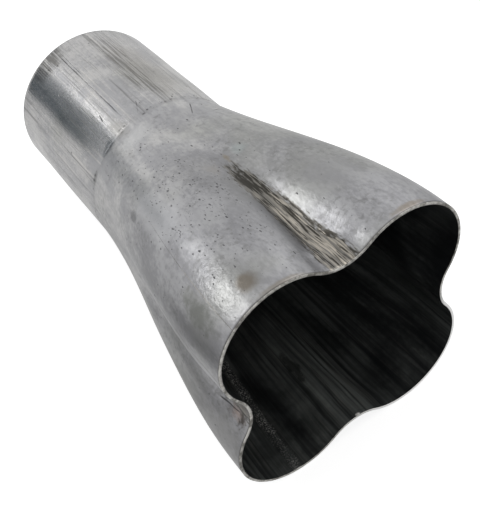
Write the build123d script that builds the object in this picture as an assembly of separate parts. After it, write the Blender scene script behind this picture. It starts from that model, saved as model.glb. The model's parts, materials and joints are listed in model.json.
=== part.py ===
from build123d import *
import os
from math import asin, cos, degrees, radians, sin, sqrt, tan

# Exhaust collector: one steel tube, formed so that a round outlet widens into a
# mouth of four lobes, which takes four header pipes side by side.
# The tube lies along Y. The outlet end is at Y = 0, and the mouth faces -Y.
# Z is up, with one flute on top, so it lies on its two lower lobes.

# Outlet: a plain round tube, sawn square
outlet_diameter = 76.2
outlet_length = 79.5
edge_break = 0.2

# Body: from the crease at the outlet to the end of the mouth's straight lip
body_length = 119.0
lip_length = 7.0
wall = 1.2

# Mouth: four lobes, one round each header pipe
lobe_offset = 24.45
lobe_bore = 50.0
mouth_flute_radius = 16.7

# Form of the body between crease and lip
body_lobe_radius = 28.4
body_flute_radius = 7.0
flute_length = 86.0
flute_tight_length = 24.0

# Slopes of the crest line at the crease and at the lip, as shares of its mean slope
crest_slope_at_crease = 0.85
crest_slope_at_lip = 0.10

# How fast the outlet's roundness fades after the crease, and the lip's after the mouth
round_fade = 12
lip_fade = 8

# Half the angle of the side arc where the body meets the round outlet, in degrees
crease_split = 22.5

# The body's skin is straight-sided from one section to the next. With this many bands
# it looks smooth, and it takes far fewer facets than one curved skin over all sections.
band_count = 22

# Worked out from the sizes above
outlet_radius = outlet_diameter / 2
mouth_lobe_radius = lobe_bore / 2 + wall
mouth_crest = sqrt(2) * lobe_offset + mouth_lobe_radius
crease_y = -outlet_length
lip_y = crease_y - body_length
mouth_y = lip_y - lip_length
along = (0, 1, 0)


def ease(share, start_slope, end_slope):
    """Cubic from 0 to 1 over share 0 to 1, with the given slopes at its ends."""
    square = (3 - 2 * start_slope - end_slope) * share ** 2
    cube = (start_slope + end_slope - 2) * share ** 3
    return start_slope * share + square + cube


def crest_radius(share):
    """Distance from the axis to the top of a lobe; share is 0 at the crease, 1 at the lip."""
    widening = mouth_crest - outlet_radius
    return outlet_radius + widening * ease(share, crest_slope_at_crease, crest_slope_at_lip)


def lobe_radius(share):
    """Outside radius of a lobe: the outlet's own at the crease, the header pipe's at the lip."""
    from_outlet = (outlet_radius - body_lobe_radius) * (1 - share) ** round_fade
    from_lip = (mouth_lobe_radius - body_lobe_radius) * share ** lip_fade
    return body_lobe_radius + from_outlet + from_lip


def side_curvature(share):
    """Curvature of the side between two lobes: negative bulges out, positive is a flute."""
    flute_from = 1 - (flute_length - lip_length) / body_length
    tight_at = 1 - (flute_tight_length - lip_length) / body_length
    if share < flute_from:
        return -(1 - share / flute_from) / outlet_radius
    if share < tight_at:
        rise = ease((share - flute_from) / (tight_at - flute_from), 0, 0)
        return rise / body_flute_radius
    widen = ease((share - tight_at) / (1 - tight_at), 0, 0)
    return 1 / body_flute_radius + widen * (1 / mouth_flute_radius - 1 / body_flute_radius)


def lobe_section(y, crest, lobe, split):
    """Face across the axis at y: four lobe arcs joined by four tangent side arcs."""
    centre = (crest - lobe) / sqrt(2)
    side = lobe + centre * (1 + tan(radians(split) / 2))
    start = (centre + lobe * cos(radians(split)), centre + lobe * sin(radians(split)))
    end = (start[1], start[0])
    top = (crest / sqrt(2), crest / sqrt(2))
    below = (start[0], -start[1])
    if abs(side - start[0]) < 1e-6:
        side_edge = Line(below, start)
    else:
        side_edge = ThreePointArc(below, (side, 0), start)
    lobe_edge = ThreePointArc(start, top, end)
    edges = []
    for turn in range(4):
        rotation = Rot(0, 0, 90 * turn)
        edges.append(rotation * side_edge)
        edges.append(rotation * lobe_edge)
    return Plane(origin=(0, y, 0), x_dir=(1, 0, 0), z_dir=along) * make_face(edges)


def station(share, inset):
    """Section of the body at one share of its length, drawn in by inset from the outside."""
    y = crease_y - body_length * share
    if share == 0:
        return lobe_section(y, outlet_radius - inset, outlet_radius - inset, crease_split)
    crest = crest_radius(share)
    lobe = lobe_radius(share)
    curvature = side_curvature(share)
    centre = (crest - lobe) / sqrt(2)
    split = degrees(asin(-centre * curvature / (1 + curvature * lobe)))
    return lobe_section(y, crest - inset, lobe - inset, split)


def lip():
    """Straight stretch at the mouth, where the header pipes are pushed in."""
    ring = station(1, 0) - station(1, wall)
    return extrude(ring, amount=lip_length, dir=(0, -1, 0))


def body():
    """Formed stretch between the lip and the crease."""
    shares = [index / band_count for index in range(band_count + 1)]
    outside = loft([station(share, 0) for share in shares], ruled=True)
    inside = loft([station(share, wall) for share in shares], ruled=True)
    return outside - inside


def outlet():
    """Round stretch, with its sawn edges broken."""
    plane = Plane(origin=(0, crease_y, 0), x_dir=(1, 0, 0), z_dir=along)
    ring = Circle(outlet_radius) - Circle(outlet_radius - wall)
    tube = extrude(plane * ring, amount=outlet_length, dir=along)
    end_edges = tube.edges().group_by(Axis.Y)[-1]
    return chamfer(end_edges, length=edge_break)


collector = lip() + body() + outlet()
os.makedirs("parts", exist_ok=True)
export_step(collector, "parts/collector.step")
print("overall length", -mouth_y, "width", collector.bounding_box().size.X)
print("volume in cubic mm", collector.volume, "solids", len(collector.solids()))
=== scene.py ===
# %% [markdown]
# # A formed exhaust collector
# On the real object this is one steel tube. A press has pushed its mouth over a former, so that the
# round outlet widens into four lobes, and a header pipe goes into each lobe. The solid model comes
# first and stays the frame of everything here. Each step below adds what a camera sees and a solid
# lacks: the finer skin, the cut edges, the drawn and scraped steel, and the light.

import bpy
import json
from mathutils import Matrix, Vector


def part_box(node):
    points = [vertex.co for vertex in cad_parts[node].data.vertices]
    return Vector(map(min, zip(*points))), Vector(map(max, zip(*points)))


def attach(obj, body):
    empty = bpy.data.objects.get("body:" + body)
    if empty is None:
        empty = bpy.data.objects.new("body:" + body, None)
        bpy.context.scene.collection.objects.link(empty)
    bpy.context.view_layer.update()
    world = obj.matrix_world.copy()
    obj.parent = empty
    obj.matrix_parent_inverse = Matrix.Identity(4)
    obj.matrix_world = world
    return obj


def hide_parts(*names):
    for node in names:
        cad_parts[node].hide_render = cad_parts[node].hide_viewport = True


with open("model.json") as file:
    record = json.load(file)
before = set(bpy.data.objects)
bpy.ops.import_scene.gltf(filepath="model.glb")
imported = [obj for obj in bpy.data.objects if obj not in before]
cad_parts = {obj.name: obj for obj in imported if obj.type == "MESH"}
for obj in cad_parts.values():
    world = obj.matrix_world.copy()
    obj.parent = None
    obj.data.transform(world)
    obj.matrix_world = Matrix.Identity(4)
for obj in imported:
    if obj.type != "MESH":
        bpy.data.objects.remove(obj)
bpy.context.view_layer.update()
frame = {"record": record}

# %% [markdown]
# ## Sizes
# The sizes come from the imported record, so that skin and solid can't drift apart. The outlet's mount
# gives the tube and its wall, and a lobe's mount gives the place and the bore of the header pipes.
# Only the shape of the curves between them is repeated here as named values, in metres.

# %% Read the sizes
import json
import math
import bpy
import numpy as np

MM = 0.001
mounts = {mount["name"]: mount for mount in frame["record"]["mounts"]}
spigot = mounts["outlet_spigot"]["dims"]
pipe_lobe = mounts["pipe_lobe_upper_right"]
outlet_radius = spigot["r_mm"] * MM
outlet_length = spigot["length_mm"] * MM
wall = outlet_radius - mounts["outlet_bore"]["dims"]["r_mm"] * MM
lobe_offset = pipe_lobe["pos_m"][0]
lip_length = pipe_lobe["dims"]["length_mm"] * MM
mouth_lobe_radius = pipe_lobe["dims"]["r_mm"] * MM + wall
mouth_crest = math.sqrt(2) * lobe_offset + mouth_lobe_radius
total_length = -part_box("collector")[0][1]
body_length = total_length - outlet_length - lip_length
crease_depth = lip_length + body_length

# Radii and reaches of the form between the crease and the lip
mouth_flute_radius = 16.7 * MM
body_lobe_radius = 28.4 * MM
body_flute_radius = 7.0 * MM
flute_length = 86.0 * MM
flute_tight_length = 24.0 * MM

# Slopes of the crest line at its two ends, as shares of its mean slope
crest_slope_at_crease = 0.85
crest_slope_at_lip = 0.10

# How fast the outlet's and the lip's roundness fade into the body, and half the angle of the side
# arc at the crease
round_fade = 12
lip_fade = 8
crease_split = math.radians(22.5)
print("tube", outlet_radius, "wall", round(wall, 5), "length", total_length)

# %% [markdown]
# ## The form along the body
# Between the crease and the mouth three things change together: how far a lobe stands out, how
# tightly it is bent, and whether the side between two lobes bulges or is hollow. Three curves over
# the body's length give them. They are the solid's own curves, but here they can be asked for at
# any depth behind the mouth, so the skin runs smoothly where the solid has straight bands.

# %% Follow the form
def ease(share, start_slope, end_slope):
    """Cubic from 0 to 1, with the given slopes at its ends."""
    square = (3 - 2 * start_slope - end_slope) * share ** 2
    cube = (start_slope + end_slope - 2) * share ** 3
    return start_slope * share + square + cube


def side_curvature(share):
    """Curvature of the side between two lobes: negative bulges out, positive is a flute."""
    flute_from = 1 - (flute_length - lip_length) / body_length
    tight_at = 1 - (flute_tight_length - lip_length) / body_length
    if share < flute_from:
        return -(1 - share / flute_from) / outlet_radius
    if share < tight_at:
        return ease((share - flute_from) / (tight_at - flute_from), 0, 0) / body_flute_radius
    opening = ease((share - tight_at) / (1 - tight_at), 0, 0)
    return 1 / body_flute_radius + opening * (1 / mouth_flute_radius - 1 / body_flute_radius)


def form_at(depth):
    """Offset of the lobes' centres, their radius and the split angle, at a depth behind the mouth."""
    share = min(1.0, (crease_depth - depth) / body_length)
    if share <= 0:
        return 0.0, outlet_radius, crease_split
    widening = ease(share, crest_slope_at_crease, crest_slope_at_lip)
    crest = outlet_radius + (mouth_crest - outlet_radius) * widening
    lobe = body_lobe_radius
    lobe += (outlet_radius - body_lobe_radius) * (1 - share) ** round_fade
    lobe += (mouth_lobe_radius - body_lobe_radius) * share ** lip_fade
    centre = (crest - lobe) / math.sqrt(2)
    curvature = side_curvature(share)
    return centre, lobe, math.asin(-centre * curvature / (1 + curvature * lobe))


for depth in (0.0, flute_tight_length, crease_depth):
    print("depth", round(depth, 4), "lobe radius", round(form_at(depth)[1], 4))

# %% [markdown]
# ## One section of the tube
# Cut the real collector anywhere and the cut shows four round lobes, with a side between each two
# that bulges near the outlet and is hollow near the mouth. A lobe and a side are both arcs that
# meet without a kink, so one eighth of the section, from the floor of a flute to the top of a
# lobe, says it all. The points lie evenly along it, because even faces take texture evenly.

# %% Draw one section
# A flat side counts as an arc with this very small angle
least_split = 1e-5


def eighth(depth, inset, steps):
    """Heights and widths from a flute's floor to a lobe's top, evenly spaced, and their length."""
    centre, lobe, split = form_at(depth)
    lobe -= inset
    if abs(split) < least_split:
        split = least_split
    side_radius = (centre + lobe * math.sin(split)) / math.sin(split)
    side_centre = centre + lobe * math.cos(split) - side_radius * math.cos(split)
    side_length = side_radius * split
    length = side_length + lobe * (math.pi / 4 - split)
    run = np.linspace(0, length, steps + 1)
    side_turn = np.minimum(run, side_length) / side_radius
    lobe_turn = split + np.maximum(run - side_length, 0) / lobe
    on_side = run <= side_length
    height = np.where(on_side, side_centre + side_radius * np.cos(side_turn),
                      centre + lobe * np.cos(lobe_turn))
    width = np.where(on_side, side_radius * np.sin(side_turn), centre + lobe * np.sin(lobe_turn))
    return height, width, length


EIGHTH_STEPS = 40
ROUND = 8 * EIGHTH_STEPS
around = np.arange(ROUND) / ROUND


def ring(depth, inset):
    """X and Z of one whole section, from the floor of the top flute towards -X, and its girth."""
    height, width, length = eighth(depth, inset, EIGHTH_STEPS)
    x = np.concatenate([-width[:-1], -height[:0:-1]])
    z = np.concatenate([height[:-1], width[:0:-1]])
    quarters = [(x, z), (-z, x), (-x, -z), (z, -x)]
    whole_x, whole_z = (np.concatenate(sides) for sides in zip(*quarters))
    return whole_x, whole_z, 8 * length


for depth in (0.0, flute_tight_length, crease_depth, total_length):
    print("depth", round(depth, 4), "girth", round(ring(depth, 0)[2], 4))

# %% [markdown]
# ## The path along the wall
# The skin is one grid. Its rings run from the mouth along the outside to the sawn end, round the
# edge, and back along the inside. Each ring has a depth and an inset from the outer face, so the
# edge's tiny roundings are just a few more rings, close together.

# %% Lay out the rings
edge_round = 0.15 * MM
end_break = 0.2 * MM
body_rings, outlet_rings, inside_rings = 104, 52, 96
near_mouth = np.array([1.2, 3.0, 5.0]) * MM
near_crease = crease_depth + np.array([-0.5, 0.5]) * MM
outer_depths = np.unique(np.concatenate([
    [edge_round], near_mouth, np.linspace(lip_length, crease_depth, body_rings), near_crease,
    np.linspace(crease_depth, total_length - end_break, outlet_rings)]))
inner_near_mouth = np.array([2.0, 1.5, 1.0, 0.5]) * MM
inner_depths = np.concatenate([
    np.linspace(total_length - end_break, inner_near_mouth[0], inside_rings),
    inner_near_mouth[1:], [edge_round]])

OUTSIDE, EDGE, INSIDE = 0, 1, 2
path = [(depth, 0.0, OUTSIDE) for depth in outer_depths]
path += [(total_length, end_break, EDGE), (total_length, wall - end_break, EDGE)]
path += [(depth, wall, INSIDE) for depth in inner_depths]
path += [(0.0, wall - edge_round, EDGE), (0.0, wall / 2, EDGE), (0.0, edge_round, EDGE)]
zones = np.array([zone for _, _, zone in path])
print("rings", len(path), "points", len(path) * ROUND)

# %% [markdown]
# ## Small relief
# Formed steel is never quite true. The press leaves a shallow ring where the former stops and a
# faint fold down the left lobe, and the skin waves by about a tenth of a millimetre. Inside, the
# tube's own seam weld stands up as a rough bead, and the saw has left a burr at the mouth. These
# are real moves of the mesh, because they bend the reflections. Outside they only go inward, so
# that the skin stays within the solid's box.

# %% Shape the relief
waves = np.random.default_rng(7)
WAVE_COUNT = 14
wave_turns = waves.integers(1, 9, WAVE_COUNT)
wave_lengths = waves.uniform(22, 70, WAVE_COUNT) * MM
wave_starts = waves.uniform(0, 2 * math.pi, (WAVE_COUNT, 2))
wave_height = 0.016 * MM

# Places round the section are shares of its girth, from the top flute's floor towards -X
crease_ring_depth, crease_ring_width = 0.05 * MM, 0.7 * MM
fold_around = 0.188
fold_depth, fold_width = 0.03 * MM, 1.2 * MM
fold_from, fold_to, fold_fade = 3 * MM, 34 * MM, 3 * MM
seam_around = 0.42
seam_height, seam_width = 0.35 * MM, 1.3 * MM
seam_roughness, seam_beats = 0.25, (1.9 * MM, 3.1 * MM)
seam_sway, seam_sway_length = 0.5 * MM, 17 * MM
burr_around, burr_depth = 0.507, 0.9 * MM
burr_height, burr_width, burr_length = 0.45 * MM, 1.3 * MM, 0.6 * MM


def bump_at(offset, width):
    """Bell curve over an offset."""
    return np.exp(-(offset / width) ** 2)


def outside_relief(depth, girth):
    """Outward move of the outer skin, for one ring."""
    move = np.zeros(ROUND)
    for turns, length, starts in zip(wave_turns, wave_lengths, wave_starts):
        across = np.sin(2 * math.pi * turns * around + starts[0])
        move += wave_height * (across * math.sin(2 * math.pi * depth / length + starts[1]) - 1)
    move -= crease_ring_depth * bump_at(depth - crease_depth, crease_ring_width)
    fade = bump_at(max(0.0, depth - fold_to, fold_from - depth), fold_fade)
    return move - fade * fold_depth * bump_at((around - fold_around) * girth, fold_width)


def inside_relief(depth, girth):
    """Outward move of the inner skin, for one ring: below zero at the seam's bead and at the burr."""
    beat = math.sin(depth / seam_beats[0]) * math.sin(depth / seam_beats[1] + 1)
    rough = 1 - seam_roughness + seam_roughness * beat
    sway = seam_sway * math.sin(depth / seam_sway_length)
    bead = seam_height * rough * bump_at((around - seam_around) * girth + sway, seam_width)
    burr = burr_height * bump_at(depth - burr_depth, burr_length)
    return -bead - burr * bump_at((around - burr_around) * girth, burr_width)


middle_waves = outside_relief(total_length / 2, ring(total_length / 2, 0)[2])
print("waves halfway along, in mm", round(float(np.ptp(middle_waves)) / MM, 3))

# %% [markdown]
# ## The skin as a mesh
# The grid becomes one closed mesh, with three materials: drawn steel outside, sawn steel on the
# edges and dark scale inside. Each point also keeps where it was on the plain tube before the press
# formed it, because drawing streaks and scratches stretched along with the metal. A second value
# keeps its distance from the nearest flute's floor, where the former scraped.

# %% Build the grid
def place_ring(depth, inset, zone):
    """Points of one ring with its relief, their places on the plain tube and across the flutes."""
    x, z, girth = ring(depth, inset)
    ahead = np.c_[np.roll(x, -1) - np.roll(x, 1), np.roll(z, -1) - np.roll(z, 1)]
    out = np.c_[ahead[:, 1], -ahead[:, 0]] / np.linalg.norm(ahead, axis=1)[:, None]
    out *= np.sign((out * np.c_[x, z]).sum(1))[:, None]
    move = inside_relief(depth, girth) if zone == INSIDE else outside_relief(depth, girth)
    turn = 2 * math.pi * around
    plain = np.c_[-outlet_radius * np.sin(turn), np.full(ROUND, depth), outlet_radius * np.cos(turn)]
    flute = (around * 4 + 0.5) % 1 - 0.5
    points = np.c_[x + out[:, 0] * move, np.full(ROUND, depth - total_length), z + out[:, 1] * move]
    return points, plain, flute * girth / 4


rings = [place_ring(*step) for step in path]
points = np.concatenate([made[0] for made in rings])
plain_places = np.concatenate([made[1] for made in rings])
flute_across = np.concatenate([made[2] for made in rings])

ring_index = np.arange(len(path))[:, None] * ROUND
next_ring = np.roll(ring_index, -1, axis=0)
this = np.arange(ROUND)[None, :]
after = (this + 1) % ROUND
faces = np.stack([ring_index + this, next_ring + this, next_ring + after, ring_index + after], -1)
face_zone = np.where(zones == np.roll(zones, -1), zones, EDGE)

mesh = bpy.data.meshes.new("collector_skin")
mesh.from_pydata(points.tolist(), [], faces.reshape(-1, 4).tolist())
mesh.polygons.foreach_set("material_index", np.repeat(face_zone, ROUND))
mesh.polygons.foreach_set("use_smooth", np.ones(len(mesh.polygons), bool))
plain_attribute = mesh.attributes.new("plain_place", "FLOAT_VECTOR", "POINT")
plain_attribute.data.foreach_set("vector", plain_places.ravel())
across_attribute = mesh.attributes.new("flute_across", "FLOAT", "POINT")
across_attribute.data.foreach_set("value", flute_across)
mesh.update()
print("triangles", 2 * len(mesh.polygons))

# %% [markdown]
# ## A flat map of the skin
# A flat map unrolls the skin like a label. The outside takes the lower part of the square, the
# inside the upper part, and each cut edge gets a thin strip of its own, so that no two places share
# a spot. Exporters need it to turn node materials into pictures.

# %% Unroll the skin
OUTSIDE_TOP = 0.60
INSIDE_LOW, INSIDE_TOP = 0.64, 0.98
MOUTH_STRIP, OUTLET_STRIP = 0.62, 0.99
STRIP_WIDTH = 0.012


def map_height(depth, inset, zone):
    """Height of a ring on the flat map, within the area of one zone."""
    if zone == OUTSIDE:
        return OUTSIDE_TOP * depth / total_length
    if zone == INSIDE:
        return INSIDE_LOW + (INSIDE_TOP - INSIDE_LOW) * depth / total_length
    strip_middle = OUTLET_STRIP if depth > total_length / 2 else MOUTH_STRIP
    return strip_middle + STRIP_WIDTH * (inset / wall - 0.5)


next_path = path[1:] + path[:1]
low_heights = [map_height(*step[:2], zone) for step, zone in zip(path, face_zone)]
high_heights = [map_height(*step[:2], zone) for step, zone in zip(next_path, face_zone)]
left = np.broadcast_to(this / ROUND, (len(path), ROUND))
right = left + 1 / ROUND
low_side = np.broadcast_to(np.array(low_heights)[:, None], left.shape)
high_side = np.broadcast_to(np.array(high_heights)[:, None], left.shape)
corners = np.stack([np.stack([left, low_side], -1), np.stack([left, high_side], -1),
                    np.stack([right, high_side], -1), np.stack([right, low_side], -1)], 2)
flat_map = mesh.uv_layers.new(name="OFBake")
flat_map.uv.foreach_set("vector", corners.astype(np.float32).ravel())
row_heights = np.abs(np.array(high_heights) - np.array(low_heights))
print("share of the flat map in use", round(float(row_heights.sum()), 3))

# %% [markdown]
# ## The skin takes the solid's place
# The part has one body and no joints, so the skin rides on the root. It replaces the node named
# collector, which is hidden from then on.

# %% Put the skin in place
skin = bpy.data.objects.new("collector_skin", mesh)
bpy.context.scene.collection.objects.link(skin)
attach(skin, "root")
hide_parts("collector")
print("skin", skin.name, "points", len(mesh.vertices))

# %% [markdown]
# ## Helpers for node trees
# A material is a tree of nodes, and long lists of node calls hide what it does. A few helpers keep
# it short. One adds a node and sets or links its inputs by name. The others stand for the nodes
# that come up most: sums, spans, noise, and one colour laid over another.

# %% Define the node helpers
def add(tree, kind, inputs=None, **settings):
    """Adds a node with its settings, and sets each named input or links a socket to it."""
    node = tree.nodes.new(kind)
    for name, value in settings.items():
        setattr(node, name, value)
    for name, value in (inputs or {}).items():
        if isinstance(value, bpy.types.NodeSocket):
            tree.links.new(value, node.inputs[name])
        else:
            node.inputs[name].default_value = value
    return node


def calc(tree, operation, first, second=0.0, third=0.0, clamp=False):
    """Result of one sum on two or three values."""
    return add(tree, "ShaderNodeMath", {0: first, 1: second, 2: third},
               operation=operation, use_clamp=clamp).outputs[0]


def vector_calc(tree, operation, first, second=(0, 0, 0), third=(0, 0, 0), output="Vector"):
    """Result of one sum on vectors; for SCALE the second is a plain value."""
    second_input = "Scale" if operation == "SCALE" else 1
    return add(tree, "ShaderNodeVectorMath", {0: first, second_input: second, 2: third},
               operation=operation).outputs[output]


def span(tree, value, low, high, to_low=0.0, to_high=1.0, smooth=True):
    """Maps a value from one span to another, and stops at its ends."""
    kind = "SMOOTHSTEP" if smooth else "LINEAR"
    node = add(tree, "ShaderNodeMapRange", {"Value": value, "From Min": low, "From Max": high,
               "To Min": to_low, "To Max": to_high}, interpolation_type=kind)
    return node.outputs["Result"]


def noise(tree, place, per_metre, detail=2.0, roughness=0.5, distortion=0.0, output="Fac"):
    """Noise with about so many spots per metre; its Color output holds three noises at once."""
    return add(tree, "ShaderNodeTexNoise", {
        "Vector": place, "Scale": per_metre, "Detail": detail, "Roughness": roughness,
        "Distortion": distortion}).outputs[output]


def blend_colour(tree, share, first, second):
    """Colour between two colours, each a socket or three numbers."""
    node = add(tree, "ShaderNodeMix", data_type="RGBA")
    sockets = {"Factor_Float": share, "A_Color": first, "B_Color": second}
    for socket in node.inputs:
        value = sockets.get(socket.identifier)
        if isinstance(value, bpy.types.NodeSocket):
            tree.links.new(value, socket)
        elif value is not None:
            socket.default_value = (*value, 1)
    return [output for output in node.outputs if output.identifier == "Result_Color"][0]


def layer(tree, colour, tint, mask, strength=1.0):
    """Colour with a tint laid over it where the mask is, as strongly as asked."""
    return blend_colour(tree, calc(tree, "MULTIPLY", mask, strength), colour, tint)


# %% [markdown]
# ## Helpers for node groups
# A node group is an effect that can be placed again with other values. Bare steel shows a handful
# of them: streaks, patches, scratches, pits, cloudiness and scrapes. Each is built once below, with
# named inputs, and gives a mask or a shade. What colour that takes is left to the materials.

# %% Define the group helpers
def start_group(name, inputs, outputs):
    """New node group with named inputs (kind and value) and outputs (kind)."""
    group = bpy.data.node_groups.new(name, "ShaderNodeTree")
    for label, (kind, value) in inputs.items():
        socket = group.interface.new_socket(label, in_out="INPUT", socket_type="NodeSocket" + kind)
        socket.default_value = value
    for label, kind in outputs.items():
        group.interface.new_socket(label, in_out="OUTPUT", socket_type="NodeSocket" + kind)
    return group, add(group, "NodeGroupInput").outputs, add(group, "NodeGroupOutput")


def use(tree, group, **inputs):
    """Places a group; an input's spaces are written as underscores."""
    named = {name.replace("_", " "): value for name, value in inputs.items()}
    return add(tree, "ShaderNodeGroup", named, node_tree=group).outputs


# %% [markdown]
# ## Streaks along the tube
# The tube was drawn and slid through dies, which leaves hundreds of fine lines along it. Noise that
# is stretched along the tube looks the same. It is read at the place on the plain tube, so the
# lines fan out with the lobes as the metal did. Two layers, a broad and a fine one, keep it from
# looking like one pattern.

# %% Make the streak group
streaks, place, result = start_group(
    "drawn streaks",
    {"Place": ("Vector", (0, 0, 0)), "Lines per metre": ("Float", 900.0),
     "Stretch": ("Float", 30.0), "Shift": ("Float", 0.0)},
    {"Mask": "Float"})
lines = place["Lines per metre"]
slow = calc(streaks, "DIVIDE", lines, place["Stretch"])
scale = add(streaks, "ShaderNodeCombineXYZ", {"X": lines, "Y": slow, "Z": lines}).outputs[0]
shift = add(streaks, "ShaderNodeCombineXYZ", {"X": place["Shift"], "Y": place["Shift"]}).outputs[0]
moved = vector_calc(streaks, "ADD", vector_calc(streaks, "MULTIPLY", place["Place"], scale), shift)
broad = noise(streaks, moved, 0.3)
fine = noise(streaks, moved, 1.0)
mask = calc(streaks, "MULTIPLY_ADD", broad, 0.35, calc(streaks, "MULTIPLY", fine, 0.65))
streaks.links.new(mask, result.inputs["Mask"])
print("streaks", len(streaks.nodes), "nodes")

# %% [markdown]
# ## A patch with ragged edges
# Stains, heat tints, scuffs and the patches of painted highlight and painted shade are all one soft
# patch somewhere on the skin. The group takes the patch's centre and its reach along each axis, and
# noise frays the edge. Real stains dry unevenly, so the noise also eats into the middle.

# %% Make the patch group
patch, spot, result = start_group(
    "ragged patch",
    {"Position": ("Vector", (0, 0, 0)), "Centre": ("Vector", (0, 0, 0)),
     "Reach": ("Vector", (1, 1, 1)), "Fray": ("Float", 0.5), "Grain": ("Float", 300.0),
     "Softness": ("Float", 0.6)},
    {"Mask": "Float"})
offset = vector_calc(patch, "SUBTRACT", spot["Position"], spot["Centre"])
relative = vector_calc(patch, "DIVIDE", offset, spot["Reach"])
distance = vector_calc(patch, "LENGTH", relative, output="Value")
fray = noise(patch, spot["Position"], spot["Grain"], detail=4.0, roughness=0.6)
frayed = calc(patch, "MULTIPLY_ADD", calc(patch, "SUBTRACT", fray, 0.5),
              calc(patch, "MULTIPLY", spot["Fray"], 2.0), distance)
inner = calc(patch, "SUBTRACT", 1.0, spot["Softness"])
patch.links.new(span(patch, frayed, inner, 1.0, 1.0, 0.0), result.inputs["Mask"])
print("patch", len(patch.nodes), "nodes")


def patch_mask(tree, position, centre, reach, fray_share, grain, softness):
    """Mask of one patch, with its centre and its reach in millimetres."""
    return use(tree, patch, Position=position, Centre=[side * MM for side in centre],
               Reach=[side * MM for side in reach], Fray=fray_share, Grain=grain,
               Softness=softness)["Mask"]


# %% [markdown]
# ## A single scratch
# A few lines are so clear that each needs its own place: the long double line on the outlet, the
# nicks by the crease, and the shade of the fold on the left lobe. The group measures the distance
# to a straight line between two points in space. Skin is nearly flat over a scratch's width, so
# that is near enough.

# %% Make the scratch group
scratch, line, result = start_group(
    "single scratch",
    {"Position": ("Vector", (0, 0, 0)), "Start": ("Vector", (0, 0, 0)),
     "End": ("Vector", (0, 0, 0)), "Width": ("Float", 0.0003), "Waver": ("Float", 0.0003)},
    {"Mask": "Float"})
wobble = noise(scratch, line["Position"], 120.0, output="Color")
centred = vector_calc(scratch, "SUBTRACT", wobble, (0.5, 0.5, 0.5))
waver = vector_calc(scratch, "SCALE", centred, line["Waver"])
here = vector_calc(scratch, "ADD", line["Position"], waver)
from_start = vector_calc(scratch, "SUBTRACT", here, line["Start"])
whole = vector_calc(scratch, "SUBTRACT", line["End"], line["Start"])
along = vector_calc(scratch, "DOT_PRODUCT", from_start, whole, output="Value")
size = vector_calc(scratch, "DOT_PRODUCT", whole, whole, output="Value")
share = calc(scratch, "DIVIDE", along, size, clamp=True)
nearest = vector_calc(scratch, "SCALE", whole, share)
apart = vector_calc(scratch, "DISTANCE", from_start, nearest, output="Value")
ends = calc(scratch, "MULTIPLY", span(scratch, share, 0.0, 0.12),
            span(scratch, share, 0.85, 1.0, 1.0, 0.0))
near = span(scratch, calc(scratch, "DIVIDE", apart, line["Width"]), 0.3, 1.0, 1.0, 0.0)
mask = calc(scratch, "MULTIPLY", near, calc(scratch, "MULTIPLY_ADD", ends, 0.7, 0.3))
scratch.links.new(mask, result.inputs["Mask"])
print("scratch", len(scratch.nodes), "nodes")


def scratch_mask(tree, position, listed):
    """One mask of a list of lines, each with its ends, width and waver in millimetres."""
    together = 0.0
    for start, end, width, waver_size in listed:
        mask = use(tree, scratch, Position=position, Start=[side * MM for side in start],
                   End=[side * MM for side in end], Width=width * MM, Waver=waver_size * MM)["Mask"]
        together = calc(tree, "MAXIMUM", mask, together)
    return together


# %% [markdown]
# ## Pits
# Mill scale and sand press small pits into the steel. A cell pattern gives each cell a centre and
# a random number. Only a few cells are lucky enough to hold a pit, and its size varies too.

# %% Make the pit group
pits, hole, result = start_group(
    "pits",
    {"Position": ("Vector", (0, 0, 0)), "Cells per metre": ("Float", 400.0),
     "Share": ("Float", 0.1), "Size": ("Float", 0.25)},
    {"Mask": "Float"})
cells = add(pits, "ShaderNodeTexVoronoi", {"Vector": hole["Position"],
            "Scale": hole["Cells per metre"]}, feature="F1")
parts = add(pits, "ShaderNodeSeparateColor", {"Color": cells.outputs["Color"]}).outputs
chosen = calc(pits, "LESS_THAN", parts[0], hole["Share"])
reach = calc(pits, "MULTIPLY", hole["Size"], calc(pits, "MULTIPLY_ADD", parts[1], 0.8, 0.3))
closeness = span(pits, calc(pits, "DIVIDE", cells.outputs["Distance"], reach), 0.5, 1.0, 1.0, 0.0)
pits.links.new(calc(pits, "MULTIPLY", chosen, closeness), result.inputs["Mask"])
print("pits", len(pits.nodes), "nodes")

# %% [markdown]
# ## Cloudy mottle
# Oil, handling and uneven scale leave the grey of bare steel cloudy. Two sizes of noise, slightly
# drawn out along the tube, vary its colour and its gloss together.

# %% Make the mottle group
mottle, cloud, result = start_group(
    "cloudy mottle",
    {"Position": ("Vector", (0, 0, 0)), "Clouds per metre": ("Float", 60.0),
     "Grain": ("Float", 0.5)},
    {"Shade": "Float"})
squeezed = vector_calc(mottle, "MULTIPLY", cloud["Position"], (1.0, 0.55, 1.0))
large = noise(mottle, squeezed, cloud["Clouds per metre"], 4.0, 0.55, 0.8)
tiny = noise(mottle, squeezed, 800.0)
grainy = calc(mottle, "MULTIPLY", calc(mottle, "SUBTRACT", tiny, 0.5), cloud["Grain"])
mottle.links.new(calc(mottle, "ADD", large, grainy), result.inputs["Shade"])
print("mottle", len(mottle.nodes), "nodes")

# %% [markdown]
# ## The scraped flute
# Where the former slid down into a flute it scraped the skin. The scraped strip starts as a point
# a little over halfway up the body and widens to the mouth. Its edges are dark with rubbed-in
# scale, and between them lie bare tan streaks. The group works from the depth behind the mouth
# and from the distance across the flute, so every flute can have its own strip.

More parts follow.
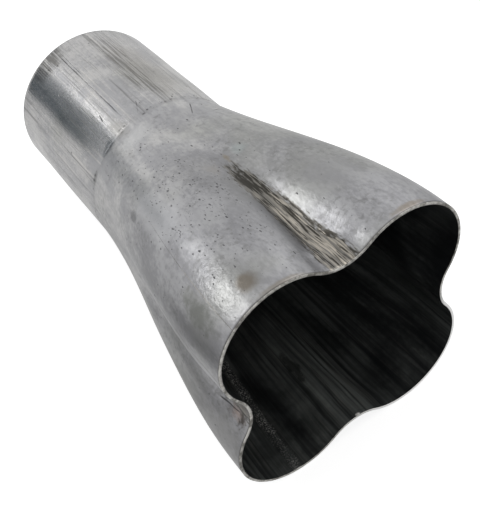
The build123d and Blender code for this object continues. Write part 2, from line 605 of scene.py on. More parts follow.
# %% Make the scrape group
scrape, strip, result = start_group(
    "scraped flute",
    {"Place": ("Vector", (0, 0, 0)), "Across": ("Float", 0.0), "Depth": ("Float", 0.0),
     "Length": ("Float", 0.069), "Half width": ("Float", 0.0072), "Shift": ("Float", 0.0)},
    {"Mask": "Float", "Bare": "Float", "Dark": "Float"})

# How far up the strip a spot is, how far across it, and whether it is inside the ragged outline
run = calc(scrape, "DIVIDE", strip["Depth"], strip["Length"])
half = calc(scrape, "MULTIPLY", strip["Half width"], span(scrape, run, 0.0, 1.0, 1.0, 0.45, False))
wave = use(scrape, streaks, Place=strip["Place"], Lines_per_metre=1400.0, Stretch=5.0)["Mask"]
fringe = calc(scrape, "SUBTRACT", wave, 0.5)
side = calc(scrape, "DIVIDE", strip["Across"], half)
ratio = calc(scrape, "MULTIPLY_ADD", fringe, 1.6, calc(scrape, "ABSOLUTE", side))
tip = span(scrape, calc(scrape, "MULTIPLY_ADD", fringe, 0.7, run), 0.86, 1.02, 1.0, 0.0)
mask = calc(scrape, "MULTIPLY", span(scrape, ratio, 0.72, 1.10, 1.0, 0.0), tip)

# Bare tan streaks, broken into islands, which fade out away from the mouth
bare_lines = use(scrape, streaks, Place=strip["Place"], Lines_per_metre=2300.0, Stretch=60.0,
                 Shift=calc(scrape, "ADD", strip["Shift"], 8.0))["Mask"]
bare = calc(scrape, "MULTIPLY", span(scrape, ratio, 0.50, 0.95, 1.0, 0.0),
            span(scrape, bare_lines, 0.48, 0.54))
bare = calc(scrape, "MULTIPLY", bare, span(scrape, run, 0.45, 0.78, 1.0, 0.08))
islands = use(scrape, streaks, Place=strip["Place"], Lines_per_metre=900.0, Stretch=9.0)["Mask"]
bare = calc(scrape, "MULTIPLY", bare, span(scrape, islands, 0.42, 0.56, 0.35, 1.0))

# Dark streaks, thickest along the edges, at the strip's upper end and between the islands
lines_in = use(scrape, streaks, Place=strip["Place"], Lines_per_metre=3000.0, Stretch=28.0,
               Shift=strip["Shift"])["Mask"]
near_edge = span(scrape, calc(scrape, "MULTIPLY_ADD", side, -0.05, ratio), 0.40, 1.00)
top = span(scrape, run, 0.50, 0.80)
darkness = calc(scrape, "MAXIMUM", near_edge, calc(scrape, "MULTIPLY", top, 0.8))
darkness = calc(scrape, "MULTIPLY_ADD", span(scrape, islands, 0.38, 0.50, 1.0, 0.0), 0.6, darkness)
threshold = calc(scrape, "MULTIPLY_ADD", darkness, 0.115, 0.420)
dark = span(scrape, calc(scrape, "SUBTRACT", threshold, lines_in), -0.04, 0.04)
for label, value in (("Mask", mask), ("Bare", bare), ("Dark", dark)):
    scrape.links.new(value, result.inputs[label])
print("node groups", sorted(group.name for group in bpy.data.node_groups))

# %% [markdown]
# ## Drawn steel outside
# The skin is bare metal, so it has no colour of its own beyond a grey that tints what it reflects.
# The body is satin and cloudy, and the round outlet has sharper lines. The colour, the roughness
# and the bump are built from the same masks, because a real mark changes all three at one place.
# Three things tell where a spot is: its position, its place on the plain tube, and its depth.

# %% Start the outside material
def empty_material(name):
    """New material whose node tree holds nothing."""
    material = bpy.data.materials.new(name)
    material.use_nodes = True
    material.node_tree.nodes.clear()
    return material


def metal(name):
    """New material with a Principled shader linked to its output, its tree and its shader."""
    material = empty_material(name)
    tree = material.node_tree
    shader = add(tree, "ShaderNodeBsdfPrincipled")
    add(tree, "ShaderNodeOutputMaterial", {"Surface": shader.outputs[0]})
    return material, tree, shader


def dress(tree, shader, colour, rough, height, metallic):
    """Gives a metal its colour, its roughness and its bump, from a height in metres."""
    bump = add(tree, "ShaderNodeBump", {"Height": height, "Strength": 1.0, "Distance": 1.0})
    for name, value in (("Base Color", colour), ("Roughness", rough), ("Normal", bump.outputs[0])):
        tree.links.new(value, shader.inputs[name])
    shader.inputs["Metallic"].default_value = metallic


steel, tree, shader = metal("drawn_steel")
position = add(tree, "ShaderNodeTexCoord").outputs["Object"]
plain = add(tree, "ShaderNodeAttribute", attribute_name="plain_place").outputs["Vector"]
across = add(tree, "ShaderNodeAttribute", attribute_name="flute_across").outputs["Fac"]
axes = add(tree, "ShaderNodeSeparateXYZ", {0: position}).outputs
depth = calc(tree, "ADD", axes["Y"], total_length)
on_outlet = span(tree, depth, crease_depth - 1.5 * MM, crease_depth + 1.5 * MM)
print("the outlet starts at depth", round(crease_depth, 4))

# %% [markdown]
# The grey comes first. Clouds of a lighter and a darker grey drift over the whole part. Towards the
# outlet the steel was rubbed in the dies and is brighter, and old oil has left it olive in places.

# %% Mix the grey
shade = use(tree, mottle, Position=position, Clouds_per_metre=60.0, Grain=0.45)["Shade"]
cloudy = span(tree, shade, 0.34, 0.66)
grey = blend_colour(tree, cloudy, (0.25, 0.25, 0.26), (0.35, 0.35, 0.36))
bright = blend_colour(tree, cloudy, (0.36, 0.36, 0.37), (0.48, 0.475, 0.47))
ragged_depth = calc(tree, "MULTIPLY_ADD", shade, 40 * MM, depth)
colour = blend_colour(tree, span(tree, ragged_depth, 75 * MM, 125 * MM), grey, bright)
tints = noise(tree, position, 22.0, 3.0)
colour = layer(tree, colour, (0.27, 0.275, 0.245), span(tree, tints, 0.48, 0.66), 0.4)
print("grey", len(tree.nodes), "nodes")

# %% [markdown]
# Lines and grime go over the grey. The outlet has dark and light lines from the dies, the body only
# weak ones, some short and some long. Fine specks of grime lie over it all, thicker in some places
# than in others. Each layer is a mask, a strength and a tint, laid on in this order.

# %% Lay on the lines and the grime
tube_lines = use(tree, streaks, Place=plain, Lines_per_metre=1250.0, Stretch=55.0, Shift=3.0)["Mask"]
rubs = use(tree, streaks, Place=plain, Lines_per_metre=1500.0, Stretch=7.0, Shift=6.0)["Mask"]
body_lines = use(tree, streaks, Place=plain, Lines_per_metre=500.0, Stretch=10.0)["Mask"]
line_share = calc(tree, "MULTIPLY", on_outlet, 0.65)
lined = calc(tree, "MULTIPLY", span(tree, tube_lines, 0.36, 0.48, 1.0, 0.0), line_share)
light_lines = calc(tree, "MULTIPLY", span(tree, tube_lines, 0.55, 0.64), line_share)
specks = noise(tree, position, 430.0, 5.0, 0.65)
grimy = noise(tree, position, 48.0)
grime = calc(tree, "MULTIPLY", span(tree, specks, 0.48, 0.66),
             span(tree, grimy, 0.40, 0.60, 0.10, 0.50))
grime = calc(tree, "MULTIPLY", grime, span(tree, on_outlet, 0.0, 1.0, 1.0, 0.4))
LAYERS = [
    # mask, strength, tint
    (lined, 1.0, (0.17, 0.168, 0.165)),
    (light_lines, 0.7, (0.62, 0.60, 0.57)),
    (span(tree, rubs, 0.36, 0.46, 1.0, 0.0), 0.22, (0.17, 0.17, 0.175)),
    (span(tree, body_lines, 0.36, 0.50, 1.0, 0.0), 0.22, (0.20, 0.20, 0.21)),
    (grime, 1.0, (0.15, 0.15, 0.147)),
]
for mask, strength, tint in LAYERS:
    colour = layer(tree, colour, tint, mask, strength)
print("layers", len(LAYERS))

# %% [markdown]
# The photograph's own marks come next, each at its place on the part in millimetres. The stains are
# a list that is looped over, so one more stain is one more line. The list holds painted light too:
# the two lightest patches are painted highlights, beside the crease and along the upper left lobe,
# and three darker ones on the outlet by the crease are painted shade. Large faint ones give the
# slow changes of grey over a lobe.

# %% Add the stains
STAINS_AND_PAINTED_LIGHT = [
    # centre, reach, colour, strength, fray, grain
    ((-31.2, -196.8, 49.8), (5.2, 5.0, 6.0), (0.15, 0.13, 0.105), 0.8, 0.35, 300),
    ((28.0, -203.8, 50.4), (11.0, 2.0, 5.0), (0.20, 0.155, 0.10), 0.5, 0.45, 300),
    ((-23.0, -204.6, 50.6), (14.0, 1.6, 5.0), (0.19, 0.16, 0.115), 0.45, 0.5, 350),
    # Painted highlight: a lighter patch on the body just behind the crease, where the light catches
    # it.
    ((-15.0, -89.0, 36.5), (12.0, 7.0, 10.0), (0.50, 0.50, 0.50), 0.6, 0.5, 120),
    ((-45.5, -193.0, 1.5), (4.0, 15.0, 9.0), (0.08, 0.073, 0.065), 0.9, 0.9, 260),
    ((-44.0, -199.0, -5.0), (3.0, 5.5, 5.0), (0.28, 0.19, 0.15), 0.5, 0.7, 400),
    ((-50.5, -185.0, 14.0), (4.0, 22.0, 8.0), (0.17, 0.168, 0.16), 0.6, 0.9, 150),
    ((-44.0, -188.0, 38.0), (5.0, 14.0, 6.0), (0.20, 0.205, 0.185), 0.5, 0.8, 160),
    # Painted highlight: a lighter patch that carries the lamp's highlight along the top of the upper
    # left lobe.
    ((-34.0, -140.0, 39.0), (8.0, 44.0, 9.0), (0.52, 0.52, 0.53), 0.55, 0.5, 90),
    ((-12.0, -168.0, 46.0), (9.0, 30.0, 8.0), (0.25, 0.25, 0.26), 0.45, 0.6, 90),
    ((-37.0, -125.2, 30.6), (2.2, 4.8, 3.0), (0.13, 0.13, 0.135), 0.75, 0.7, 450),
    ((1.2, -133.7, 42.4), (1.3, 4.2, 3.0), (0.24, 0.20, 0.14), 0.6, 0.6, 500),
    ((-7.0, -137.0, 42.0), (3.6, 6.0, 4.0), (0.29, 0.26, 0.22), 0.4, 0.7, 350),
    ((-0.4, -100.4, 39.3), (5.0, 7.0, 4.0), (0.22, 0.22, 0.23), 0.5, 0.7, 200),
    ((7.4, -131.9, 42.8), (4.0, 5.0, 4.0), (0.36, 0.41, 0.41), 0.35, 0.5, 250),
    # Painted shade: a darker patch that dims the lamp's highlight on the outlet beside the crease.
    ((-17.5, -76.0, 33.8), (5.0, 12.0, 5.0), (0.24, 0.235, 0.225), 0.75, 0.5, 200),
    # Painted shade: this row and the next darken the outlet along the crease, on its shadow side.
    ((-24.0, -79.0, 29.0), (6.0, 3.2, 7.0), (0.13, 0.14, 0.15), 0.8, 0.4, 260),
    ((-33.5, -78.6, 18.0), (3.0, 1.8, 6.0), (0.16, 0.165, 0.165), 0.6, 0.5, 260),
    ((-44.0, -201.5, -4.5), (3.0, 2.4, 9.0), (0.05, 0.042, 0.036), 0.9, 0.9, 700),
    ((-9.0, -138.0, 43.5), (15.0, 27.0, 8.0), (0.20, 0.20, 0.205), 0.5, 0.5, 60),
    ((4.0, -94.0, 38.0), (16.0, 12.0, 8.0), (0.29, 0.29, 0.30), 0.5, 0.6, 90),
    ((-50.0, -188.0, -24.0), (9.0, 36.0, 20.0), (0.19, 0.188, 0.18), 0.5, 0.8, 90),
    ((-48.0, -176.0, 4.0), (5.0, 12.0, 7.0), (0.16, 0.158, 0.15), 0.45, 0.9, 220),
    ((13.0, -42.0, 36.0), (14.0, 42.0, 8.0), (0.30, 0.285, 0.262), 0.45, 0.5, 60),
    ((-50.5, -165.0, 6.0), (4.0, 16.0, 6.0), (0.14, 0.135, 0.125), 0.5, 0.9, 200),
    ((-45.5, -191.0, 38.5), (4.0, 12.0, 6.0), (0.15, 0.155, 0.145), 0.7, 0.9, 320),
    ((20.0, -170.0, 50.0), (13.0, 16.0, 8.0), (0.27, 0.27, 0.28), 0.5, 0.8, 120),
]
# Each row lays on a stain, or a painted highlight or painted shade where a row is marked so.
for centre, reach, tint, strength, fray_share, grain in STAINS_AND_PAINTED_LIGHT:
    mask = patch_mask(tree, position, centre, reach, fray_share, grain, 0.7)
    colour = layer(tree, colour, tint, mask, strength)
print("stains", len(STAINS_AND_PAINTED_LIGHT))

# %% [markdown]
# The outlet has two darker places where many coarse lines lie together: one down its upper side,
# and one at its sawn end. Round the mouth a thin dark line of scale follows the cut edge.

# %% Add the dark lines and the rim
coarse_lines = use(tree, streaks, Place=plain, Lines_per_metre=1500.0, Stretch=42.0, Shift=1.0)["Mask"]
cluster = patch_mask(tree, position, (7.0, -40.0, 37.5), (10.0, 48.0, 12.0), 0.3, 80.0, 0.6)
cluster = calc(tree, "MULTIPLY", cluster, span(tree, coarse_lines, 0.45, 0.51, 1.0, 0.12))
end_scuff = patch_mask(tree, position, (-19.0, -4.0, 32.5), (15.0, 12.0, 12.0), 0.5, 160.0, 0.6)
end_scuff = calc(tree, "MULTIPLY", end_scuff, span(tree, coarse_lines, 0.44, 0.58, 1.0, 0.15))
rim_line = span(tree, depth, 0.25 * MM, 0.95 * MM, 0.65, 0.0)
colour = layer(tree, colour, (0.13, 0.125, 0.115), cluster, 0.8)
colour = layer(tree, colour, (0.06, 0.058, 0.054), end_scuff, 0.75)
colour = layer(tree, colour, (0.055, 0.05, 0.045), rim_line)
print("outside so far", len(tree.nodes), "nodes")

# %% [markdown]
# Scratches are a list too. The fold down the left lobe is three overlapping lines of its own. They
# are wider and fainter, because a fold is a soft shade and not a cut.

# %% Add the scratches and the fold line
SCRATCHES = [
    # start, end, width, waver
    ((-13.0, -5.0, 35.8), (-13.2, -72.0, 35.8), 0.50, 0.5),
    ((-11.6, -6.0, 36.3), (-12.2, -40.0, 36.1), 0.36, 0.5),
    ((-13.2, -72.0, 35.8), (-10.2, -75.5, 36.8), 0.25, 0.2),
    ((-4.0, -69.0, 37.9), (-7.9, -78.5, 37.3), 0.30, 1.0),
    ((13.0, -85.0, 36.2), (8.8, -95.0, 38.2), 0.40, 0.6),
    ((13.8, -91.0, 36.9), (10.6, -94.6, 38.0), 0.30, 0.5),
    ((-18.9, -61.0, 33.1), (-19.6, -65.5, 32.7), 0.45, 0.4),
    ((21.5, -95.0, 34.5), (17.5, -96.5, 36.3), 0.35, 0.6),
    ((25.0, -118.0, 41.0), (18.5, -112.0, 41.0), 0.40, 1.0),
    ((-45.3, -183.0, -5.6), (-43.6, -194.0, -4.4), 0.45, 0.5),
    ((-44.6, -188.0, -6.6), (-43.2, -200.0, -4.6), 0.50, 0.5),
    ((-44.9, -192.0, 7.0), (-42.6, -200.0, 2.6), 0.45, 0.6),
    ((-46.6, -190.0, 10.6), (-44.2, -199.0, 7.4), 0.45, 0.6),
    ((-47.8, -194.0, 13.4), (-46.0, -202.0, 11.0), 0.45, 0.6),
]
FOLD_LINE = [
    ((-47.9, -160.0, 19.0), (-50.1, -180.0, 23.0), 0.8, 0.6),
    ((-49.8, -175.0, 22.4), (-50.7, -195.0, 22.7), 1.1, 0.6),
    ((-50.7, -190.0, 23.2), (-50.6, -209.0, 22.8), 1.2, 0.6),
]
colour = layer(tree, colour, (0.11, 0.108, 0.105), scratch_mask(tree, position, FOLD_LINE), 0.5)
marks = scratch_mask(tree, position, SCRATCHES)
colour = layer(tree, colour, (0.05, 0.05, 0.052), marks, 0.85)
print("scratches", len(SCRATCHES), "pieces of fold line", len(FOLD_LINE))

# %% [markdown]
# Pits gather on the upper left lobe and thin out elsewhere. They come in two sizes, clear holes and
# finer grains between them, both squeezed a little so that few are round. The ring at the crease
# has a row of small die marks and a grey shade.

# %% Sink the pits and the die marks
pit_zone = patch_mask(tree, position, (-22.0, -145.0, 44.0), (24.0, 65.0, 30.0), 0.5, 60.0, 0.8)
crowds = noise(tree, position, 110.0, 1.0)
pit_zone = calc(tree, "MULTIPLY", pit_zone, span(tree, crowds, 0.38, 0.52, 0.08, 1.0))
pit_share = calc(tree, "MULTIPLY_ADD", pit_zone, 0.85, 0.03)
jitter = vector_calc(tree, "SCALE", noise(tree, position, 900.0, output="Color"), 0.9 * MM)
slim = vector_calc(tree, "MULTIPLY_ADD", position, (1.3, 0.6, 1.0), jitter)
holes = use(tree, pits, Position=slim, Cells_per_metre=620.0, Size=0.34,
            Share=calc(tree, "MULTIPLY", pit_share, 0.8))["Mask"]
grains = use(tree, pits, Position=slim, Cells_per_metre=1150.0, Size=0.42,
             Share=calc(tree, "MULTIPLY", pit_share, 0.45))["Mask"]
holes = calc(tree, "MAXIMUM", holes, calc(tree, "MULTIPLY", grains, 0.9))

die_ring_depth = crease_depth + 0.6 * MM
from_ring = calc(tree, "ABSOLUTE", calc(tree, "SUBTRACT", depth, die_ring_depth))
crease_near = span(tree, from_ring, 0.6 * MM, 1.9 * MM, 1.0, 0.0)
die_marks = use(tree, pits, Position=plain, Cells_per_metre=420.0, Share=0.7, Size=0.55)["Mask"]
die_marks = calc(tree, "MULTIPLY", die_marks, crease_near)
crease_shade = calc(tree, "MULTIPLY", crease_near, span(tree, tints, 0.40, 0.60, 0.08, 0.35))
colour = layer(tree, colour, (0.12, 0.118, 0.115), crease_shade)
holes = calc(tree, "MAXIMUM", holes, calc(tree, "MULTIPLY", die_marks, 0.85))
colour = layer(tree, colour, (0.04, 0.04, 0.042), holes, 0.75)
print("outside so far", len(tree.nodes), "nodes")

# %% [markdown]
# Last come the scrapes. The top flute's is long and lies a little to one side, as in the
# photograph. The other flutes have shorter and weaker ones. A rubbed base goes on first, then the
# bare streaks, then the dark ones.

# %% Scrape the flutes
top_side = calc(tree, "GREATER_THAN", axes["Z"], calc(tree, "ABSOLUTE", axes["X"]))
shifted = calc(tree, "MULTIPLY_ADD", top_side, -0.3 * MM, across)
scrape_length = span(tree, top_side, 0.0, 1.0, 26.0 * MM, 69.0 * MM, False)
scrape_width = span(tree, top_side, 0.0, 1.0, 4.5 * MM, 6.6 * MM, False)
scraped = use(tree, scrape, Place=plain, Across=shifted, Depth=depth, Length=scrape_length,
              Half_width=scrape_width, Shift=5.0)
bare_strip = calc(tree, "MULTIPLY", scraped["Mask"], scraped["Bare"])
bare_strip = calc(tree, "MULTIPLY", bare_strip, span(tree, top_side, 0.0, 1.0, 0.25, 1.0, False))
dark_strip = calc(tree, "MULTIPLY", scraped["Mask"], scraped["Dark"])
colour = layer(tree, colour, (0.135, 0.127, 0.11), scraped["Mask"], 0.8)
colour = layer(tree, colour, (0.43, 0.395, 0.34), bare_strip, 0.9)
colour = layer(tree, colour, (0.028, 0.026, 0.022), dark_strip, 0.9)
print("outside so far", len(tree.nodes), "nodes")

# %% [markdown]
# Roughness and bump follow. The outlet is glossier than the cloudy body, and so is a scraped strip.
# Dark lines, pits and scratches are dull. Two crinkled areas, on the upper left lobe and beside
# the top flute's strip, break the highlight into sparkles.

# %% Finish the outside material
rough = span(tree, shade, 0.3, 0.7, 0.40, 0.33)
rough = calc(tree, "MULTIPLY_ADD", on_outlet, -0.10, rough)
rough = calc(tree, "MULTIPLY_ADD", lined, 0.12, rough)
rough = calc(tree, "MULTIPLY_ADD", calc(tree, "MAXIMUM", holes, marks), 0.3, rough)
rough = calc(tree, "MULTIPLY_ADD", scraped["Mask"], -0.05, rough, clamp=True)

crinkle_zone = patch_mask(tree, position, (-37.0, -192.0, 46.0), (12.0, 20.0, 12.0), 0.4, 90.0, 0.8)
by_strip = patch_mask(tree, position, (9.0, -188.0, 46.0), (8.0, 24.0, 8.0), 0.5, 120.0, 0.8)
crinkle_zone = calc(tree, "MULTIPLY_ADD", by_strip, 0.5, crinkle_zone)
crinkles = noise(tree, position, 420.0, 3.0, 0.6)
height = calc(tree, "MULTIPLY", calc(tree, "MULTIPLY", crinkles, crinkle_zone), 0.34 * MM)
height = calc(tree, "MULTIPLY_ADD", shade, 0.05 * MM, height)
line_height = calc(tree, "MULTIPLY", tube_lines, calc(tree, "MULTIPLY", on_outlet, 0.05))
height = calc(tree, "MULTIPLY_ADD", line_height, MM, height)
height = calc(tree, "MULTIPLY_ADD", calc(tree, "MAXIMUM", holes, marks), -0.06 * MM, height)
height = calc(tree, "MULTIPLY_ADD", calc(tree, "SUBTRACT", bare_strip, dark_strip), 0.03 * MM, height)
dress(tree, shader, colour, rough, height, metallic=1.0)
print(steel.name, len(tree.nodes), "nodes")

# %% [markdown]
# ## Sawn edges
# The cut edge has no scale on it, so it is the brightest steel on the part. Handling has dulled it
# in clouds. At the lower right of the mouth the edge is painted almost white, a painted highlight
# where it faces the light. The saw's marks are fine noise in its gloss and its bump.

# %% Make the edge material
edge, tree, shader = metal("sawn_edge")
position = add(tree, "ShaderNodeTexCoord").outputs["Object"]
saw = noise(tree, position, 900.0, 3.0)
clouds = use(tree, mottle, Position=position, Clouds_per_metre=120.0, Grain=0.6)["Shade"]
colour = blend_colour(tree, span(tree, clouds, 0.3, 0.7), (0.15, 0.145, 0.13), (0.55, 0.54, 0.51))
# Painted highlight: the lower right of the mouth's edge is painted almost white, where it faces the
# light.
lit_edge_highlight = patch_mask(tree, position, (42.0, -205.5, -34.0), (56.0, 10.0, 40.0), 0.2, 60.0, 0.5)
colour = layer(tree, colour, (0.86, 0.86, 0.85), lit_edge_highlight, 0.95)
rough = span(tree, saw, 0.3, 0.7, 0.28, 0.5)
dress(tree, shader, colour, rough, calc(tree, "MULTIPLY", saw, 0.04 * MM), metallic=1.0)
print(edge.name, len(tree.nodes), "nodes")

# %% [markdown]
# ## Dark scale inside
# Rolled steel keeps its dark blue-black scale inside the tube, where no die has rubbed it off. It
# is half glossy, with faint long streaks. They are lightest along the bottom, where worn scale and a
# painted reflection of the white studio on the bottom ridge both lighten them, and lighter at the
# lower left too. One streak near the mouth is stained black.

# %% Make the inside material
scale_inside, tree, shader = metal("dark_scale")
position = add(tree, "ShaderNodeTexCoord").outputs["Object"]
plain = add(tree, "ShaderNodeAttribute", attribute_name="plain_place").outputs["Vector"]
long_lines = use(tree, streaks, Place=plain, Lines_per_metre=900.0, Stretch=60.0, Shift=9.0)["Mask"]
fine_lines = use(tree, streaks, Place=plain, Lines_per_metre=1500.0, Stretch=40.0, Shift=4.0)["Mask"]
clouds = use(tree, mottle, Position=position, Clouds_per_metre=35.0, Grain=0.2)["Shade"]
# Wear and painted reflection: the bottom patch lightens the streaks where the bottom ridge reflects
# the white studio. The lower left patch only makes them lighter.
bottom_wear_and_sheen = patch_mask(tree, position, (2.0, -192.0, -42.0), (26.0, 75.0, 20.0), 0.4, 40.0, 0.9)
lower_left_lighter = patch_mask(tree, position, (-34.0, -180.0, -38.0), (22.0, 60.0, 24.0), 0.6, 50.0, 0.9)
stain = patch_mask(tree, position, (-4.5, -170.5, -42.5), (2.2, 11.0, 4.0), 0.9, 260.0, 0.5)
wear_and_sheen_share = calc(tree, "MULTIPLY_ADD", bottom_wear_and_sheen, 0.9, span(tree, clouds, 0.38, 0.68, 0.04, 0.40))
wear_and_sheen_share = calc(tree, "MULTIPLY_ADD", lower_left_lighter, 0.45, wear_and_sheen_share)
light_share = calc(tree, "MULTIPLY", span(tree, long_lines, 0.30, 0.68), wear_and_sheen_share)
colour = blend_colour(tree, light_share, (0.006, 0.0065, 0.0075), (0.165, 0.178, 0.168))
fine_share = calc(tree, "MULTIPLY", span(tree, fine_lines, 0.54, 0.64), wear_and_sheen_share)
colour = layer(tree, colour, (0.13, 0.13, 0.12), fine_share, 0.7)
colour = layer(tree, colour, (0.003, 0.003, 0.003), stain, 0.7)
print("inside so far", len(tree.nodes), "nodes")

# %% [markdown]
# The seam weld's bead is lighter than the scale, because its own scale has flaked. The flakes
# follow the bead's line on the plain tube and leave gaps. The burr at the mouth is bare metal.

# %% Add the seam's flakes and the burr
seam_turn = 2 * math.pi * seam_around
seam_place = (-outlet_radius * math.sin(seam_turn), 0, outlet_radius * math.cos(seam_turn))
cross_place = vector_calc(tree, "MULTIPLY", plain, (1, 0, 1))
from_seam = vector_calc(tree, "DISTANCE", cross_place, seam_place, output="Value")
flakes = noise(tree, position, 1900.0)
gaps = noise(tree, position, 130.0)
bead = calc(tree, "MULTIPLY", span(tree, from_seam, 0.6 * MM, 1.9 * MM, 1.0, 0.0),
            span(tree, flakes, 0.52, 0.62))
bead = calc(tree, "MULTIPLY", bead, span(tree, gaps, 0.38, 0.54, 0.3, 1.0))
burr = patch_mask(tree, position, (1.6, -204.9, -41.8), (1.1, 0.7, 0.7), 0.2, 800.0, 0.3)
colour = layer(tree, colour, (0.40, 0.39, 0.37), bead, 0.85)
colour = layer(tree, colour, (0.62, 0.61, 0.58), burr)
height = calc(tree, "MULTIPLY_ADD", long_lines, 0.04 * MM, calc(tree, "MULTIPLY", bead, 0.1 * MM))
dress(tree, shader, colour, span(tree, clouds, 0.3, 0.7, 0.30, 0.46), height, metallic=0.3)
shader.inputs["Specular IOR Level"].default_value = 0.5

# %% [markdown]
# The skin takes its three materials in the order of its zones: outside, edge and inside.

# %% Put the materials on the skin
for material in (steel, edge, scale_inside):
    mesh.materials.append(material)
print("materials", [material.name for material in mesh.materials])

# %% [markdown]
# ## The floor
# The part lies on its two lower lobes and on the end of its outlet, so the floor is tilted by the
# angle between them. The photograph's ground is pure white and still holds a soft shadow. So part
# of the floor's white is a glow, which is full to the camera and about half in the part's
# reflections, and the rest is ordinary light that a shadow can take away.

# %% Lay the floor
def flat_sheet(name, width, height):
    """New object with one rectangular face, facing +Z."""
    x, y = width / 2, height / 2
    sheet_mesh = bpy.data.meshes.new(name)
    sheet_mesh.from_pydata([(-x, -y, 0), (x, -y, 0), (x, y, 0), (-x, y, 0)], [], [(0, 1, 2, 3)])
    sheet = bpy.data.objects.new(name, sheet_mesh)
    bpy.context.scene.collection.objects.link(sheet)
    return sheet


floor_size = 6.0
floor_gap = 0.2 * MM
floor_grey = 0.42
glow_to_camera = 0.78
glow_in_reflections = 0.42
mouth_drop = lobe_offset + mouth_lobe_radius
floor_tilt = math.atan((mouth_drop - outlet_radius) / total_length)
floor = flat_sheet("floor", floor_size, floor_size)
floor.location = (0, -total_length, -mouth_drop - floor_gap)
floor.rotation_euler = (floor_tilt, 0, 0)

white = empty_material("white_floor")
tree = white.node_tree
matt = add(tree, "ShaderNodeBsdfDiffuse", {"Color": (floor_grey, floor_grey, floor_grey, 1)})
glow = add(tree, "ShaderNodeEmission", {"Color": (1, 1, 1, 1)})
paths = add(tree, "ShaderNodeLightPath").outputs
mirrored = calc(tree, "MAXIMUM", paths["Is Glossy Ray"], paths["Is Transmission Ray"])
seen = calc(tree, "MAXIMUM", calc(tree, "MULTIPLY", paths["Is Camera Ray"], glow_to_camera),
            calc(tree, "MULTIPLY", mirrored, glow_in_reflections))
tree.links.new(seen, glow.inputs["Strength"])
both = add(tree, "ShaderNodeAddShader", {0: matt.outputs[0], 1: glow.outputs[0]})
add(tree, "ShaderNodeOutputMaterial", {"Surface": both.outputs[0]})
floor.data.materials.append(white)
print("floor tilt", round(math.degrees(floor_tilt), 2), "degrees")

# %% [markdown]
# ## The white studio
# Bare metal is a mirror with a soft focus, so it is lit by what stands round it. All round the part
# is white, a little weaker as a light than it looks, so that the shapes keep some shade.

# %% Paint the studio
light_strength, seen_strength = 0.8, 1.0
world = bpy.data.worlds.new("white_studio")
bpy.context.scene.world = world
world.use_nodes = True
tree = world.node_tree
tree.nodes.clear()
paths = add(tree, "ShaderNodeLightPath").outputs
mirrored = calc(tree, "MAXIMUM", paths["Is Glossy Ray"], paths["Is Transmission Ray"])
seen = calc(tree, "MAXIMUM", paths["Is Camera Ray"], mirrored)
strength = span(tree, seen, 0.0, 1.0, light_strength, seen_strength, False)
sky = add(tree, "ShaderNodeBackground", {"Color": (1, 1, 1, 1), "Strength": strength})
add(tree, "ShaderNodeOutputWorld", {"Surface": sky.outputs[0]})
print("studio", len(tree.nodes), "nodes")

# %% [markdown]
# ## Lamps and cards
# A white studio alone makes metal flat. Photographers put dark cards beside it, and each card shows
# as a dark band that gives the shape. Here the cards are seen in reflections only. The small
# blue-grey one by the outlet gives it its cold dark band. The grey one lying on the floor by the
# body is a painted shadow: it stands for the floor's shade near the part, as the left flank by the
# mouth reflects it. A key lamp from behind on the left makes the bright streaks along the lobes, and
# a fill lamp softens the right side.

# %% Set the lamps and the cards
from mathutils import Vector

subject = Vector((0, -total_length / 2, 0))


def direction(azimuth, elevation):
    """Unit vector; azimuth 0 is -Y, 90 is +X."""
    turn, rise = math.radians(azimuth), math.radians(elevation)
    return Vector((math.sin(turn) * math.cos(rise), -math.cos(turn) * math.cos(rise), math.sin(rise)))


def face_middle(item, azimuth, elevation, distance, middle):
    """Stands an object off a middle, in a direction, and turns its front to it."""
    item.location = middle + direction(azimuth, elevation) * distance
    item.rotation_euler = direction(azimuth, elevation).to_track_quat("Z", "Y").to_euler()


def soft_box(name, azimuth, elevation, distance, width, height, power):
    """Soft rectangular lamp aimed at the part."""
    lamp = bpy.data.lights.new(name, "AREA")
    lamp.shape = "RECTANGLE"
    lamp.size, lamp.size_y = width, height
    lamp.energy = power
    item = bpy.data.objects.new(name, lamp)
    bpy.context.scene.collection.objects.link(item)
    face_middle(item, azimuth, elevation, distance, subject)
    item.visible_camera = False


def card(name, azimuth, elevation, distance, width, height, colour, middle=subject):
    """Dark card facing the part, or facing another middle, and seen in reflections only."""
    item = flat_sheet(name, width, height)
    face_middle(item, azimuth, elevation, distance, middle)
    paper = empty_material(name)
    glow = add(paper.node_tree, "ShaderNodeEmission", {"Color": (*colour, 1)})
    add(paper.node_tree, "ShaderNodeOutputMaterial", {"Surface": glow.outputs[0]})
    item.data.materials.append(paper)
    item.visible_camera = False
    item.visible_shadow = False
    item.visible_diffuse = False


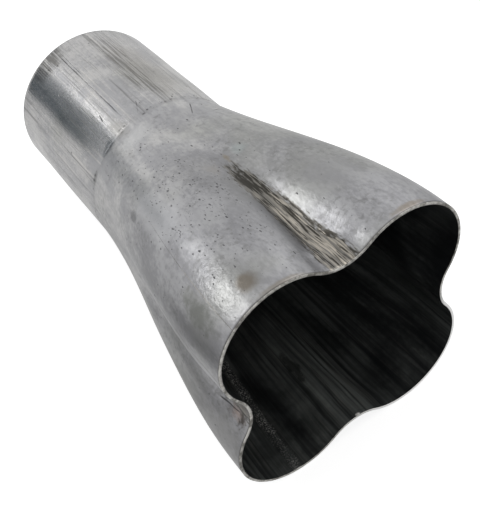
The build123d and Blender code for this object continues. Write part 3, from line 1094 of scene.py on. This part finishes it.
# name, azimuth and elevation in degrees, distance, width, height, and power or colour
soft_box("key", -139, 36, 1.1, 0.56, 0.44, 2.3)
soft_box("fill", 100, 50, 1.4, 0.8, 0.8, 3.0)
BLUE_GREY = (0.075, 0.100, 0.120)
beside_outlet = Vector((-0.030, 0.115, 0.080))
floor_shade_middle = Vector((-0.2, -0.08, 0.0))
card("card_by_outlet", -90, 0, 0.08, 0.17, 0.112, BLUE_GREY, beside_outlet)
# A painted shadow: this grey card on the floor beside the body stands for the floor's shade near the
# part, seen in reflections.
card("floor_shade_card", 0, -89, 0.04, 0.20, 0.12, (0.25, 0.25, 0.25), floor_shade_middle)
card("card_left", -80, 10, 1.0, 0.40, 0.25, (0.22, 0.215, 0.20))
card("card_right", 95, 12, 1.0, 0.35, 0.22, (0.15, 0.15, 0.15))
card("card_front", 15, 14, 1.0, 0.25, 0.35, (0.1, 0.1, 0.1))

# %% [markdown]
# ## The camera
# The camera stands where the photographer's stood: above the mouth, to the left, looking down along
# the tube. Its place, turn and lens were found by matching the outline of the solid to the
# photograph, and the small shift keeps the same framing.

# %% Place the camera
photo_width, photo_height = 480, 505
focal_pixels = 822.3
middle_x, middle_y = 264.63, 220.30
# Metres, and degrees about X, Y and Z
camera_place = (-0.10617, -0.35022, 0.22984)
camera_turns = (47.1435, 6.2686, -34.6617)
camera_data = bpy.data.cameras.new("camera")
camera_data.sensor_width = 36.0
camera_data.lens = focal_pixels * camera_data.sensor_width / photo_height
camera_data.shift_x = (photo_width / 2 - middle_x) / photo_height
camera_data.shift_y = (middle_y - photo_height / 2) / photo_height
camera_data.clip_start = 0.01
camera = bpy.data.objects.new("camera", camera_data)
bpy.context.scene.collection.objects.link(camera)
camera.location = camera_place
camera.rotation_euler = [math.radians(turn) for turn in camera_turns]
bpy.context.scene.camera = camera
bpy.context.scene.view_settings.view_transform = "Standard"
print("lens in mm", round(camera_data.lens, 2))

# %% [markdown]
# ## Finish
# The dressed part has to stay inside the solid's box. Last, the view layer is brought up to date.

# %% Finish
bpy.context.view_layer.update()
